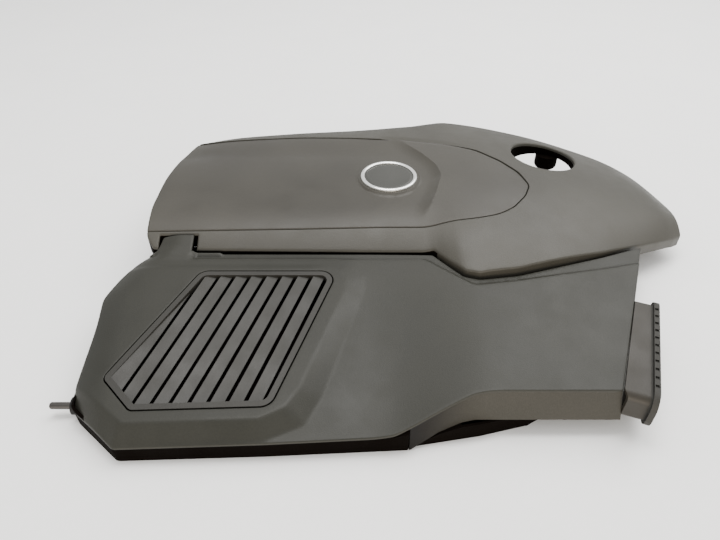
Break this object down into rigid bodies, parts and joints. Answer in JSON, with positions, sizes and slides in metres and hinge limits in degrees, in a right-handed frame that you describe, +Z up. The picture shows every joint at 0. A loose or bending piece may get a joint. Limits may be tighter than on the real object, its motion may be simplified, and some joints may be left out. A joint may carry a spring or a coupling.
{
  "type": "engine cover",
  "caption": "Moulded engine cover with an arched rear shell, a louvred grille, a filler opening, a trim panel and an air duct mouth.",
  "frame": {"origin": "on the ground plane below the middle of the part's bounding box", "axes": "+X along the long side towards the nose and the duct mouth, +Y towards the rear edge, +Z up through the visible face"},
  "size_m": [0.6574, 0.5067, 0.0776],
  "materials": {
    "cover_plastic": "fine-grained satin",
    "trim_plastic": "satin",
    "bright_trim": "bright",
    "dark_trim": "dark satin",
    "black_plastic": "matte",
    "duct_plastic": "satin",
    "seal_rubber": "matte",
    "black_rubber": "matte",
    "steel": "satin",
    "foam": "matte",
    "filter_paper": "matte"
  },
  "bodies": {
    "root": {"upper_cover": "cover_plastic", "trim_panel": "trim_plastic", "badge_ring": "bright_trim", "badge_face": "dark_trim", "front_cover": "cover_plastic", "grille_insert": "trim_plastic", "lower_duct_shell": "black_plastic", "duct_sleeve": "duct_plastic", "duct_seal": "seal_rubber", "locating_pin": "steel", "pin_bush": "black_rubber", "rear_left_grommet": "black_rubber", "rear_right_grommet": "black_rubber", "mid_left_grommet": "black_rubber", "mid_right_grommet": "black_rubber", "acoustic_pad": "foam", "trim_clips": "steel", "shell_screws": "steel", "cover_screws": "steel", "filter_element": "filter_paper"}
  },
  "joints": []
}
